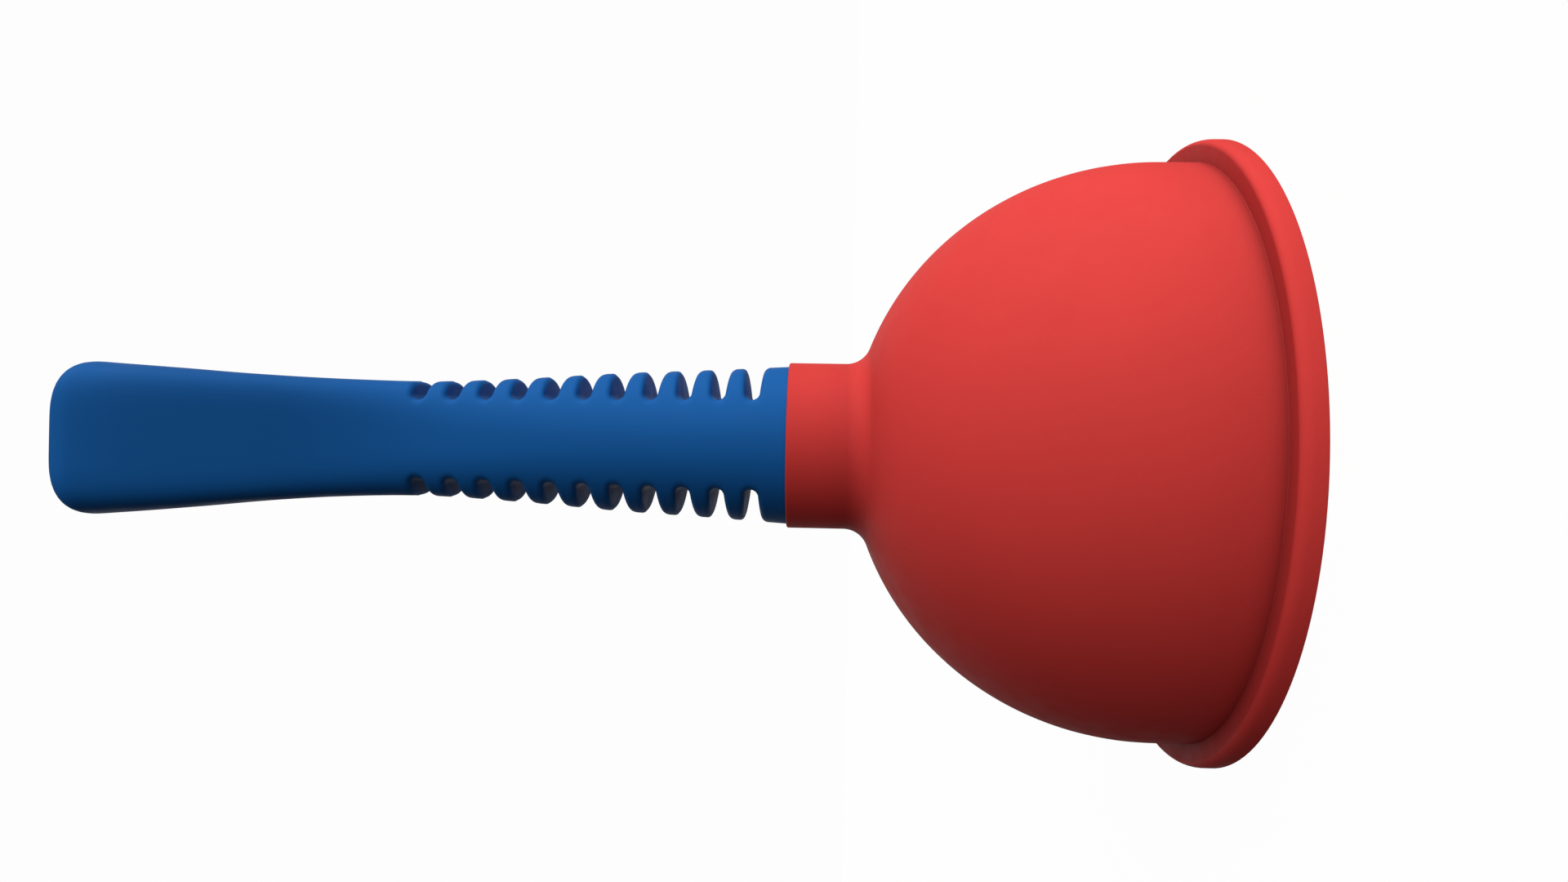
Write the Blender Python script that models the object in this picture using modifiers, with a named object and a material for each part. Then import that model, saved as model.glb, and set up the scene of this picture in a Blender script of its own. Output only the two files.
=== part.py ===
"""A short-handled force-cup plunger.

A moulded rubber cup stands on its rim, and a moulded plastic handle rises from its collar. The handle's
spigot fills the collar, and a screw through the cup's web, with a load washer and a sealing washer under
its head, holds it from inside the cup by a brass insert moulded into the spigot.

Metres, +Z up. The origin is the centre of the rim's base, +Z runs along the plunger's axis to the handle,
the handle's notched edges face +X and -X, and its plain faces face +Y and -Y.
"""

import math

import bmesh
import bpy

MM = 0.001
TAU = 2 * math.pi

# The gap that touching pieces keep.
GAP = 0.3 * MM

# Rubber cup. Everything follows from the rim's radius, half of a nominal 5 inch cup.
RIM_RADIUS = 63.5 * MM
RIM_THICKNESS = 4.3 * MM
RIM_TOP_ROUND = 1.1 * MM
RIM_BASE_ROUND = 0.3 * MM
RIM_STEP = 4.4 * MM
RIM_CREASE_ROUND = 0.4 * MM
DOME_RADIUS = RIM_RADIUS - RIM_STEP
DOME_BASE_Z = 0.179 * RIM_RADIUS
DOME_HEIGHT = 0.941 * RIM_RADIUS
WALL = 3.3 * MM
LIP_INNER_ROUND = 1.0 * MM
COLLAR_RADIUS = 17.5 * MM
COLLAR_TOP_Z = 84.2 * MM
COLLAR_EDGE_ROUND = 0.4 * MM
COLLAR_FILLET = 5.3 * MM
HUB_RADIUS = 16.0 * MM
HUB_BASE_Z = 52.5 * MM
HUB_EDGE_ROUND = 1.5 * MM
HUB_FILLET = 3.0 * MM
WEB = 5.5 * MM

# Fixing, on the axis: an M5 pan-head screw up through the web into the insert.
SCREW_RADIUS = 2.5 * MM
SCREW_REACH = 17.0 * MM
SCREW_POINT = 1.0 * MM
HEAD_RADIUS = 4.75 * MM
HEAD_HEIGHT = 3.3 * MM
HEAD_EDGE_ROUND = 1.5 * MM
RECESS_WIDTH = 1.1 * MM
RECESS_LENGTH = 5.0 * MM
RECESS_DEPTH = 1.9 * MM
LOAD_WASHER_RADIUS = 12.5 * MM
LOAD_WASHER_THICKNESS = 1.5 * MM
SEAL_RADIUS = 6.0 * MM
SEAL_THICKNESS = 1.5 * MM
WASHER_EDGE_ROUND = 0.3 * MM
HOLE_RADIUS = SCREW_RADIUS + GAP
INSERT_RADIUS = 4.0 * MM
INSERT_LENGTH = 12.0 * MM
INSERT_GROOVE_DEPTH = 0.5 * MM
INSERT_GROOVE_WIDTH = 1.2 * MM
INSERT_GROOVES = 3

# Handle spigot, inside the collar.
SPIGOT_RADIUS = 11.4 * MM
SPIGOT_BASE_Z = HUB_BASE_Z + WEB + GAP
SPIGOT_EDGE_ROUND = 1.0 * MM
BARB_HEIGHT = 0.9 * MM
BARB_LENGTH = 4.0 * MM
BARB_LAND = 0.8 * MM
BARB_PITCH = 7.0 * MM
BARBS = 3
FIRST_BARB = 4.0 * MM
CORE_RADIUS = 3.2 * MM
CORE_TOP_Z = 140.0 * MM
CORE_TAPER = 1.2 * MM

# Handle grip: sections of a loft, each (z, half-width, half-depth, squareness). Squareness 2 is an ellipse,
# and 4 or more a rounded rectangle.
GRIP_BASE_Z = COLLAR_TOP_Z + GAP
GRIP_TOP_Z = 235.8 * MM
CROWN_RISE = 8.0 * MM
SHOULDER_Z = GRIP_TOP_Z - CROWN_RISE
GRIP_SECTIONS = [
    (GRIP_BASE_Z, 16.6 * MM, 16.6 * MM, 2.05),
    (102 * MM, 15.6 * MM, 15.4 * MM, 2.05),
    (120 * MM, 14.7 * MM, 13.6 * MM, 2.1),
    (140 * MM, 13.3 * MM, 11.5 * MM, 2.3),
    (160 * MM, 12.3 * MM, 10.2 * MM, 3.0),
    (178 * MM, 12.5 * MM, 11.9 * MM, 4.6),
    (195 * MM, 13.4 * MM, 15.2 * MM, 6.0),
    (212 * MM, 14.8 * MM, 18.4 * MM, 6.0),
    (SHOULDER_Z, 16.0 * MM, 20.4 * MM, 5.0),
]
# The crown draws the last section in, to a narrow flat on top.
CROWN_INSET_X = 15.0 * MM
CROWN_INSET_Y = 10.8 * MM
SWEEP = 1.1 * MM
SWEEP_START_Z = 164 * MM

# Finger notches, cut right through the grip's two narrow edges.
NOTCHES = 11
NOTCH_PITCH = 7.0 * MM
LAST_NOTCH_Z = 161.3 * MM
NOTCH_FLOOR_ROUND = 1.5 * MM
NOTCH_FLARE = math.radians(4)
NOTCH_LIP_ROUND = 1.1 * MM
LIP_SWEEP = math.radians(70)
WEB_HALF_AT_WAIST = 8.1 * MM
WEB_HALF_GROWTH = 1.0 * MM

# Facets.
TURN_STEPS = 48
SMALL_TURN_STEPS = 28
RING_POINTS = 36
ARC_STEPS = 4
DOME_STEPS = 9
GRIP_RINGS = 20
CROWN_RINGS = 6
SHARP_ANGLE = math.radians(32)


def clear_scene():
    for obj in list(bpy.data.objects):
        bpy.data.objects.remove(obj, do_unlink=True)


def new_collection(name):
    collection = bpy.data.collections.new(name)
    bpy.context.scene.collection.children.link(collection)
    return collection


def plain_material(name, colour, roughness, metallic=0.0):
    material = bpy.data.materials.new(name)
    material.use_nodes = True
    shader = material.node_tree.nodes["Principled BSDF"]
    shader.inputs["Base Color"].default_value = (*colour, 1)
    shader.inputs["Roughness"].default_value = roughness
    shader.inputs["Metallic"].default_value = metallic
    material.diffuse_color = (*colour, 1)
    return material


def add_object(name, mesh, collection, material=None):
    obj = bpy.data.objects.new(name, mesh)
    collection.objects.link(obj)
    if material:
        mesh.materials.append(material)
    return obj


def mesh_from(name, shape):
    """Turns a bmesh into a mesh, and frees it."""
    mesh = bpy.data.meshes.new(name)
    shape.to_mesh(mesh)
    shape.free()
    return mesh


def settle(obj):
    """Applies the object's modifiers, and shades it smooth except across its real edges."""
    graph = bpy.context.evaluated_depsgraph_get()
    mesh = bpy.data.meshes.new_from_object(obj.evaluated_get(graph))
    mesh.name = obj.name
    obj.modifiers.clear()
    obj.data = mesh
    mesh.shade_smooth()
    mesh.set_sharp_from_angle(angle=SHARP_ANGLE)


def arc(centre, radii, start, end, steps=ARC_STEPS):
    """Points (r, z) along an elliptical arc, its ends included. Angles are in degrees from +r towards +z."""
    points = []
    for step in range(steps + 1):
        angle = math.radians(start + (end - start) * step / steps)
        points.append((centre[0] + radii[0] * math.cos(angle), centre[1] + radii[1] * math.sin(angle)))
    return points


def turned(name, outline, collection, material, steps):
    """An outline of (r, z) points, running down its outer side, turned about the Z axis.

    It starts and ends on the axis, or else it is closed, and makes a ring.
    """
    shape = bmesh.new()
    corners = [shape.verts.new((r, 0, z)) for r, z in outline]
    for here, there in zip(corners, corners[1:]):
        shape.edges.new((here, there))
    if outline[0][0] > 0:
        shape.edges.new((corners[-1], corners[0]))
    obj = add_object(name, mesh_from(name, shape), collection, material)
    screw = obj.modifiers.new("turn", "SCREW")
    screw.angle = TAU
    screw.axis = "Z"
    screw.steps = steps
    screw.render_steps = steps
    screw.use_merge_vertices = True
    screw.merge_threshold = 0.00001
    screw.use_smooth_shade = True
    settle(obj)
    return obj


def cylinder_fillet(semi_r, semi_z, base_z, cylinder_radius, fillet, side):
    """Where a fillet rolls between an upright ellipse, centred at base_z, and a cylinder on the axis.

    side is +1 for a fillet outside the ellipse and -1 for one inside it. Returns the fillet's centre and
    the ellipse's angle, in degrees, where the fillet leaves it.
    """
    low, high = 0.0, math.pi / 2
    target = cylinder_radius + fillet
    for _ in range(60):
        middle = (low + high) / 2
        normal_r = math.cos(middle) / semi_r
        normal_z = math.sin(middle) / semi_z
        length = math.hypot(normal_r, normal_z)
        centre_r = semi_r * math.cos(middle) + side * fillet * normal_r / length
        centre_z = base_z + semi_z * math.sin(middle) + side * fillet * normal_z / length
        if centre_r > target:
            low = middle
        else:
            high = middle
    return (centre_r, centre_z), math.degrees(middle)


def fillet_angle(centre, point):
    return math.degrees(math.atan2(point[1] - centre[1], point[0] - centre[0]))


def cup_outside():
    """From the collar's mouth down to the rim's base."""
    edge = COLLAR_EDGE_ROUND
    points = arc((COLLAR_RADIUS - edge, COLLAR_TOP_Z - edge), (edge, edge), 90, 0, 2)
    centre, leave = cylinder_fillet(DOME_RADIUS, DOME_HEIGHT, DOME_BASE_Z, COLLAR_RADIUS, COLLAR_FILLET, 1)
    dome = arc((0, DOME_BASE_Z), (DOME_RADIUS, DOME_HEIGHT), leave, 0, DOME_STEPS)
    landing = fillet_angle(centre, dome[0]) % 360
    points += arc(centre, (COLLAR_FILLET, COLLAR_FILLET), 180, landing)[:-1]
    points += dome
    crease = RIM_CREASE_ROUND
    points += arc((DOME_RADIUS + crease, RIM_THICKNESS + crease), (crease, crease), 180, 270, 3)
    top, base = RIM_TOP_ROUND, RIM_BASE_ROUND
    points += arc((RIM_RADIUS - top, RIM_THICKNESS - top), (top, top), 90, 0, 4)
    points += arc((RIM_RADIUS - base, base), (base, base), 0, -90, 3)
    return points


def cup_inside():
    """From the rim's base up the inner wall, down the hub, and across the web to the screw's hole."""
    inner_radius = DOME_RADIUS - WALL
    inner_height = DOME_HEIGHT - WALL
    lip = LIP_INNER_ROUND
    points = arc((inner_radius + lip, lip), (lip, lip), -90, -180, 3)
    centre, leave = cylinder_fillet(inner_radius, inner_height, DOME_BASE_Z, HUB_RADIUS, HUB_FILLET, -1)
    dome = arc((0, DOME_BASE_Z), (inner_radius, inner_height), 0, leave, DOME_STEPS)
    points += dome[:-1]
    landing = fillet_angle(centre, dome[-1]) % 360
    points += arc(centre, (HUB_FILLET, HUB_FILLET), landing, 180, 4)
    edge = HUB_EDGE_ROUND
    points += arc((HUB_RADIUS - edge, HUB_BASE_Z + edge), (edge, edge), 0, -90, 3)
    points += [(HOLE_RADIUS, HUB_BASE_Z), (HOLE_RADIUS, HUB_BASE_Z + WEB)]
    return points


def spigot_side(spare):
    """The spigot's barbed side, from its base up, grown by spare: 0 for the spigot and GAP for its socket."""
    radius = SPIGOT_RADIUS + spare
    points = []
    for barb in range(BARBS):
        base_z = SPIGOT_BASE_Z + FIRST_BARB + barb * BARB_PITCH
        points += [
            (radius, base_z),
            (radius + BARB_HEIGHT, base_z + BARB_LENGTH - BARB_LAND),
            (radius + BARB_HEIGHT, base_z + BARB_LENGTH),
            (radius, base_z + BARB_LENGTH + spare),
        ]
    return points


def rubber_cup(collection):
    socket = [(SPIGOT_RADIUS + GAP, HUB_BASE_Z + WEB)] + spigot_side(GAP)
    socket.append((SPIGOT_RADIUS + GAP, COLLAR_TOP_Z))
    outline = cup_outside() + cup_inside() + socket
    red_rubber = plain_material("red_rubber", (0.80, 0.065, 0.060), 0.55)
    return turned("rubber_cup", outline, collection, red_rubber, TURN_STEPS)


def ease(stations, z):
    """A smooth curve through (z, value, ...) stations: a cubic in each gap, with a shared slope at each station."""

    def slope(index, item):
        before = stations[max(index - 1, 0)]
        after = stations[min(index + 1, len(stations) - 1)]
        return (after[item] - before[item]) / (after[0] - before[0])

    index = 0
    while index < len(stations) - 2 and z > stations[index + 1][0]:
        index += 1
    start, end = stations[index], stations[index + 1]
    span = end[0] - start[0]
    t = (z - start[0]) / span
    values = []
    for item in range(1, len(start)):
        values.append(
            (2 * t**3 - 3 * t**2 + 1) * start[item]
            + (t**3 - 2 * t**2 + t) * span * slope(index, item)
            + (3 * t**2 - 2 * t**3) * end[item]
            + (t**3 - t**2) * span * slope(index + 1, item)
        )
    return values


def sweep_at(z):
    """How far the grip's centre line leans to -X: nothing up to the waist, then a slow S to its top."""
    along = max(0.0, z - SWEEP_START_Z) / (GRIP_TOP_Z - SWEEP_START_Z)
    return -SWEEP * (3 * along**2 - 2 * along**3)


def grip_rings():
    """Rings (z, half-width, half-depth, squareness) from the shoulder on the collar to the flat on top."""
    rings = []
    for step in range(GRIP_RINGS + 1):
        z = GRIP_BASE_Z + (SHOULDER_Z - GRIP_BASE_Z) * step / GRIP_RINGS
        rings.append((z, *ease(GRIP_SECTIONS, z)))
    _, width, depth, squareness = rings[-1]
    for step in range(1, CROWN_RINGS + 1):
        angle = math.radians(90) * step / CROWN_RINGS
        inward = 1 - math.cos(angle)
        z = SHOULDER_Z + CROWN_RISE * math.sin(angle)
        rings.append((z, width - CROWN_INSET_X * inward, depth - CROWN_INSET_Y * inward, squareness))
    return rings


def round_rings(points):
    """Rings of a round stretch, from (r, z) points."""
    return [(z, r, r, 2.0) for r, z in points]


def bore_rings():
    """From the top of the moulding's core, down past the insert's seat to the spigot's mouth."""
    seat_top = SPIGOT_BASE_Z + GAP + INSERT_LENGTH + GAP
    seat_radius = INSERT_RADIUS + GAP
    return round_rings(
        [
            (CORE_RADIUS - CORE_TAPER, CORE_TOP_Z),
            (CORE_RADIUS, CORE_TOP_Z - CORE_TAPER),
            (CORE_RADIUS, seat_top),
            (seat_radius, seat_top),
            (seat_radius, SPIGOT_BASE_Z),
        ]
    )


def spigot_rings():
    """From the spigot's mouth, out and up its barbed side to the underside of the grip's shoulder."""
    edge = SPIGOT_EDGE_ROUND
    corner = arc((SPIGOT_RADIUS - edge, SPIGOT_BASE_Z + edge), (edge, edge), -90, 0, 3)
    return round_rings(corner + spigot_side(0) + [(SPIGOT_RADIUS, GRIP_BASE_Z)])


def ring_points(z, half_width, half_depth, squareness):
    """Points round a superellipse at height z, about the grip's centre line."""
    points = []
    for index in range(RING_POINTS):
        across = math.cos(TAU * index / RING_POINTS)
        deep = math.sin(TAU * index / RING_POINTS)
        reach = (abs(across) ** squareness + abs(deep) ** squareness) ** (-1 / squareness)
        points.append((sweep_at(z) + half_width * reach * across, half_depth * reach * deep, z))
    return points


def loft(name, rings):
    """A closed mesh through the rings, from the first to the last, with a flat cap at each end."""
    shape = bmesh.new()
    loops = [[shape.verts.new(point) for point in ring_points(*ring)] for ring in rings]
    for lower, upper in zip(loops, loops[1:]):
        for index in range(RING_POINTS):
            after = (index + 1) % RING_POINTS
            shape.faces.new((lower[index], lower[after], upper[after], upper[index]))
    shape.faces.new(loops[0][::-1])
    shape.faces.new(loops[-1])
    bmesh.ops.triangulate(shape, faces=shape.faces)
    return mesh_from(name, shape)


def notch_outline(floor_x, edge_x):
    """One notch in the XZ plane, about z = 0: a round floor at floor_x, flared sides, and lips that open out.

    The lips curve away at edge_x, the grip's edge there, and the outline ends clear of the grip.
    """
    floor, lip, flare = NOTCH_FLOOR_ROUND, NOTCH_LIP_ROUND, NOTCH_FLARE
    centre_x = floor_x + floor
    points = []
    for step in range(ARC_STEPS + 1):
        angle = (math.pi / 2 - flare) * step / ARC_STEPS
        points.append((centre_x - floor * math.cos(angle), floor * math.sin(angle)))
    wall_x, wall_z = points[-1]
    lip_x = edge_x - lip
    lip_z = wall_z + (lip_x - lip * math.sin(flare) - wall_x) * math.tan(flare) + lip * math.cos(flare)
    for step in range(ARC_STEPS):
        angle = flare + (LIP_SWEEP - flare) * step / (ARC_STEPS - 1)
        points.append((lip_x + lip * math.sin(angle), lip_z - lip * math.cos(angle)))
    points.append((edge_x + lip, points[-1][1]))
    return points + [(x, -z) for x, z in points[:0:-1]]


def notch_cutter(collection):
    """All the notches on both edges, as prisms along Y."""
    reach = 2 * max(section[2] for section in GRIP_SECTIONS)
    shape = bmesh.new()
    for index in range(NOTCHES):
        z = LAST_NOTCH_Z - index * NOTCH_PITCH
        floor_x = WEB_HALF_AT_WAIST + WEB_HALF_GROWTH * index / (NOTCHES - 1)
        outline = notch_outline(floor_x, ease(GRIP_SECTIONS, z)[0])
        for side in (1, -1):
            prism(shape, outline, lambda x, up: (side * x, -reach, z + up), (0, 2 * reach, 0))
    return add_cutter("notch_cutter", shape, collection)


def add_cutter(name, shape, collection):
    bmesh.ops.recalc_face_normals(shape, faces=shape.faces)
    cutter = add_object(name, mesh_from(name, shape), collection)
    cutter.hide_render = True
    cutter.display_type = "WIRE"
    return cutter


def cut(obj, cutter):
    boolean = obj.modifiers.new("cut", "BOOLEAN")
    boolean.operation = "DIFFERENCE"
    boolean.object = cutter
    boolean.solver = "EXACT"


def handle(collection, cutters):
    rings = bore_rings() + spigot_rings() + grip_rings()
    blue_plastic = plain_material("blue_plastic", (0.012, 0.135, 0.430), 0.45)
    obj = add_object("handle", loft("handle", rings), collection, blue_plastic)
    cut(obj, notch_cutter(cutters))
    settle(obj)
    return obj


def washer(name, radius, base_z, thickness, collection, material):
    """A flat ring with eased outer edges, its base at base_z."""
    edge = WASHER_EDGE_ROUND
    top_z = base_z + thickness
    outline = [(HOLE_RADIUS, top_z)]
    outline += arc((radius - edge, top_z - edge), (edge, edge), 90, 0, 2)
    outline += arc((radius - edge, base_z + edge), (edge, edge), 0, -90, 2)
    outline.append((HOLE_RADIUS, base_z))
    return turned(name, outline, collection, material, SMALL_TURN_STEPS)


def threaded_insert(collection):
    """A brass bush with grooves round it, which the plastic flows into."""
    base_z = SPIGOT_BASE_Z + GAP
    top_z = base_z + INSERT_LENGTH
    root = INSERT_RADIUS - INSERT_GROOVE_DEPTH
    outline = [(HOLE_RADIUS, top_z), (INSERT_RADIUS, top_z)]
    for groove in range(INSERT_GROOVES):
        middle = top_z - INSERT_LENGTH * (groove + 1) / (INSERT_GROOVES + 1)
        upper = middle + INSERT_GROOVE_WIDTH / 2
        lower = middle - INSERT_GROOVE_WIDTH / 2
        outline += [(INSERT_RADIUS, upper), (root, upper), (root, lower), (INSERT_RADIUS, lower)]
    outline += [(INSERT_RADIUS, base_z), (HOLE_RADIUS, base_z)]
    brass = plain_material("brass", (0.72, 0.50, 0.20), 0.30, 1.0)
    return turned("threaded_insert", outline, collection, brass, SMALL_TURN_STEPS)


def prism(shape, outline, start, travel):
    """A closed prism in shape: the outline's points, placed at start, carried along by travel."""
    face = shape.faces.new([shape.verts.new(start(*point)) for point in outline])
    made = bmesh.ops.extrude_face_region(shape, geom=[face])
    moved = [item for item in made["geom"] if isinstance(item, bmesh.types.BMVert)]
    bmesh.ops.translate(shape, verts=moved, vec=travel)


def recess_cutter(head_base_z, collection):
    """The cross in the screw's head."""
    tip, side = RECESS_LENGTH / 2, RECESS_WIDTH / 2
    arm = [(tip, -side), (tip, side), (side, side)]
    cross = []
    for turn in range(4):
        sine, cosine = round(math.sin(turn * TAU / 4)), round(math.cos(turn * TAU / 4))
        cross += [(x * cosine - y * sine, x * sine + y * cosine) for x, y in arm]
    shape = bmesh.new()
    below = head_base_z - RECESS_DEPTH
    prism(shape, cross, lambda x, y: (x, y, below), (0, 0, 2 * RECESS_DEPTH))
    return add_cutter("recess_cutter", shape, collection)


def fixing_screw(head_top_z, collection, cutters):
    """A pan-head screw, head down, its shank up through the web into the insert."""
    head_base_z = head_top_z - HEAD_HEIGHT
    tip_z = head_top_z + SCREW_REACH
    edge = HEAD_EDGE_ROUND
    outline = [
        (0, tip_z),
        (SCREW_RADIUS - SCREW_POINT, tip_z),
        (SCREW_RADIUS, tip_z - SCREW_POINT),
        (SCREW_RADIUS, head_top_z),
        (HEAD_RADIUS, head_top_z),
    ]
    outline += arc((HEAD_RADIUS - edge, head_base_z + edge), (edge, edge), 0, -90, 4)
    outline.append((0, head_base_z))
    steel = plain_material("screw_steel", (0.60, 0.60, 0.60), 0.28, 1.0)
    obj = turned("fixing_screw", outline, collection, steel, SMALL_TURN_STEPS)
    cut(obj, recess_cutter(head_base_z, cutters))
    settle(obj)


def main():
    clear_scene()
    parts = new_collection("plunger")
    cutters = new_collection("cutters")
    rubber_cup(parts)
    handle(parts, cutters)
    threaded_insert(parts)
    washer_base = HUB_BASE_Z - GAP - LOAD_WASHER_THICKNESS
    zinc = plain_material("washer_steel", (0.55, 0.56, 0.57), 0.35, 1.0)
    washer("load_washer", LOAD_WASHER_RADIUS, washer_base, LOAD_WASHER_THICKNESS, parts, zinc)
    seal_base = washer_base - GAP - SEAL_THICKNESS
    black_rubber = plain_material("black_rubber", (0.03, 0.03, 0.03), 0.7)
    washer("sealing_washer", SEAL_RADIUS, seal_base, SEAL_THICKNESS, parts, black_rubber)
    fixing_screw(seal_base - GAP, parts, cutters)


main()
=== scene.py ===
"""Looks for the force-cup plunger: fine meshes, materials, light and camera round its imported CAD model.

Everything is in metres, in the CAD model's own frame. +Z runs up the plunger's axis from the rim that it
stands on, and the handle's notched edges face +X and -X. The photograph shows it lying on its side, so the
camera looks along +Y and is rolled a quarter turn.
"""

import math

import bmesh
import bpy
import numpy as np
from mathutils import Matrix, Vector


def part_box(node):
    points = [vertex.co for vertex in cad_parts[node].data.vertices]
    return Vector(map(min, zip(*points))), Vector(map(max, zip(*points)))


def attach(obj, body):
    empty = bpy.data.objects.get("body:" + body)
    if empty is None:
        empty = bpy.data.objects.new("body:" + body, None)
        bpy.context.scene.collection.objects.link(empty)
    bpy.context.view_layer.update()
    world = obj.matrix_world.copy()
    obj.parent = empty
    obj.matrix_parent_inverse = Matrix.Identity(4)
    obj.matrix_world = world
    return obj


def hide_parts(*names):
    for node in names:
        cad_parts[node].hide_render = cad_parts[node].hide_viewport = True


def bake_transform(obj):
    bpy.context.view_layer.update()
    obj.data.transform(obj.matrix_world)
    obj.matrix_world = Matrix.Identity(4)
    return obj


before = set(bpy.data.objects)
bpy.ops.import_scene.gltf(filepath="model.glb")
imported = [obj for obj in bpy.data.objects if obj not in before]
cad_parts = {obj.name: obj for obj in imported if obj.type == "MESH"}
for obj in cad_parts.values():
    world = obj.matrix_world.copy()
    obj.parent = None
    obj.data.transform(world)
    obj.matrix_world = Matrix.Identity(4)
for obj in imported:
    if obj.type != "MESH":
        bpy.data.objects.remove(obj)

MM = 0.001
TAU = 2 * math.pi
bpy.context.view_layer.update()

# Cup, from its CAD node's box. Shares are of the rim's radius.
CUP_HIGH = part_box("rubber_cup")[1]
RIM_RADIUS = CUP_HIGH.x
COLLAR_TOP_Z = CUP_HIGH.z
RIM_THICKNESS = 4.3 * MM
RIM_STEP = 4.4 * MM
RIM_TOP_ROUND = 1.3 * MM
RIM_TOP_FALL = 2.2 * MM
RIM_BASE_ROUND = 0.3 * MM
RIM_CREASE_ROUND = 0.1 * MM
DOME_RADIUS = RIM_RADIUS - RIM_STEP
DOME_BASE_Z = 0.179 * RIM_RADIUS
DOME_HEIGHT = 0.941 * RIM_RADIUS
WALL = 3.3 * MM
LIP_INNER_ROUND = 1.0 * MM
COLLAR_RADIUS = 17.5 * MM
COLLAR_EDGE_ROUND = 0.4 * MM
COLLAR_FILLET = 5.3 * MM
HUB_RADIUS = 16.0 * MM
HUB_EDGE_ROUND = 1.5 * MM
HUB_FILLET = 3.0 * MM
WEB = 5.5 * MM
SOCKET_RADIUS = 11.7 * MM
HOLE_RADIUS = 2.8 * MM

# Fixing, from its CAD nodes' boxes. Touching pieces keep the CAD model's gap.
GAP = 0.3 * MM
SCREW_LOW, SCREW_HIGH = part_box("fixing_screw")
HUB_BASE_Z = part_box("load_washer")[1].z + GAP
HEAD_TOP_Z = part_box("sealing_washer")[0].z - GAP
HEAD_RADIUS = SCREW_HIGH.x
HEAD_EDGE_ROUND = 1.5 * MM
HEAD_RIM_ROUND = 0.25 * MM
SHANK_RADIUS = 2.5 * MM
THREAD_PITCH = 0.8 * MM
THREAD_DEPTH = 0.4 * MM
THREAD_POINT = 1.0 * MM
RECESS_LENGTH = 5.0 * MM
RECESS_WIDTH = 1.1 * MM
RECESS_DEPTH = 1.9 * MM
RECESS_TAPER = 0.55  # the cross's inner end, as a share of its size at the head's face
LOAD_WASHER_EDGE = 0.35 * MM
SEAL_EDGE = 0.6 * MM

# Handle, from its CAD node's box.
HANDLE_LOW, HANDLE_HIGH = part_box("handle")
GRIP_TOP_Z = HANDLE_HIGH.z
GRIP_LIFT = 0.02 * MM
GRIP_BASE_Z = COLLAR_TOP_Z + GRIP_LIFT
SPIGOT_BASE_Z = HANDLE_LOW.z
SPIGOT_RADIUS = 11.4 * MM
CORE_RADIUS = 3.2 * MM
SEAT_RADIUS = 4.3 * MM
SEAT_DEPTH = 12.6 * MM
SEAT_TOP_Z = SPIGOT_BASE_Z + SEAT_DEPTH
CORE_TOP_Z = 140.0 * MM
CROWN_RISE = 8.0 * MM
CROWN_INSET_X = 15.0 * MM
CROWN_INSET_Y = 10.8 * MM
SHOULDER_Z = GRIP_TOP_Z - CROWN_RISE

# (z, half-width, half-depth, squareness) up the grip. A squareness of 2 is an ellipse.
GRIP_SECTIONS = [
    (84.5 * MM, 16.6 * MM, 16.6 * MM, 2.05),
    (102 * MM, 15.6 * MM, 15.4 * MM, 2.05),
    (120 * MM, 14.7 * MM, 13.6 * MM, 2.1),
    (140 * MM, 13.3 * MM, 11.5 * MM, 2.3),
    (160 * MM, 12.3 * MM, 10.2 * MM, 3.0),
    (178 * MM, 12.5 * MM, 11.9 * MM, 4.6),
    (195 * MM, 13.4 * MM, 15.2 * MM, 6.0),
    (212 * MM, 14.8 * MM, 18.4 * MM, 6.0),
    (SHOULDER_Z, 16.0 * MM, 20.4 * MM, 5.0),
]

# How far the grip's centre line leans to -X at its top, and where the lean starts.
SWEEP = 1.1 * MM
SWEEP_START_Z = 164 * MM

# Painted shade: stretches of the grip's palm end and of the collar made darker, as (z, share) stops with
# smooth ramps.
GRIP_PAINTED_SHADE = [(150 * MM, 0), (193 * MM, 1), (215 * MM, 1), (GRIP_TOP_Z, 0)]
COLLAR_PAINTED_SHADE = [(66 * MM, 0), (76 * MM, 0.7), (COLLAR_TOP_Z, 1)]

# The mould's parting line: a fine ridge along the grip's two notched edges.
PARTING_HEIGHT = 0.1 * MM
PARTING_HALF_ANGLE = math.radians(1.0)

# Finger notches on the grip's two narrow edges.
NOTCHES = 11
NOTCH_PITCH = 7.0 * MM
LAST_NOTCH_Z = 161.3 * MM
NOTCH_FLOOR_ROUND = 1.5 * MM
NOTCH_FLARE = math.radians(4)
NOTCH_EDGE_ROUND = 1.1 * MM
WEB_HALF_AT_WAIST = 8.1 * MM
WEB_HALF_GROWTH = 1.0 * MM

# How finely the meshes are made: steps round a turned piece, and steps along each arc of an outline.
TURN_STEPS = 160
FIXING_STEPS = 72
GRIP_STEPS = 144
DOME_STEPS = 56
INNER_DOME_STEPS = 48
FILLET_STEPS = 12
HUB_FILLET_STEPS = 10
RIM_TOP_STEPS = 14
HEAD_EDGE_STEPS = 14
ROUND_STEPS = 8
SMALL_ROUND_STEPS = 6
EDGE_STEPS = 4
SHARP_DEGREES = 50
SCREW_SHARP_DEGREES = 40
FILLET_FINDING_STEPS = 60
SURFACE_FINDING_STEPS = 26
WELD_DISTANCE = 0.001 * MM

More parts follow.
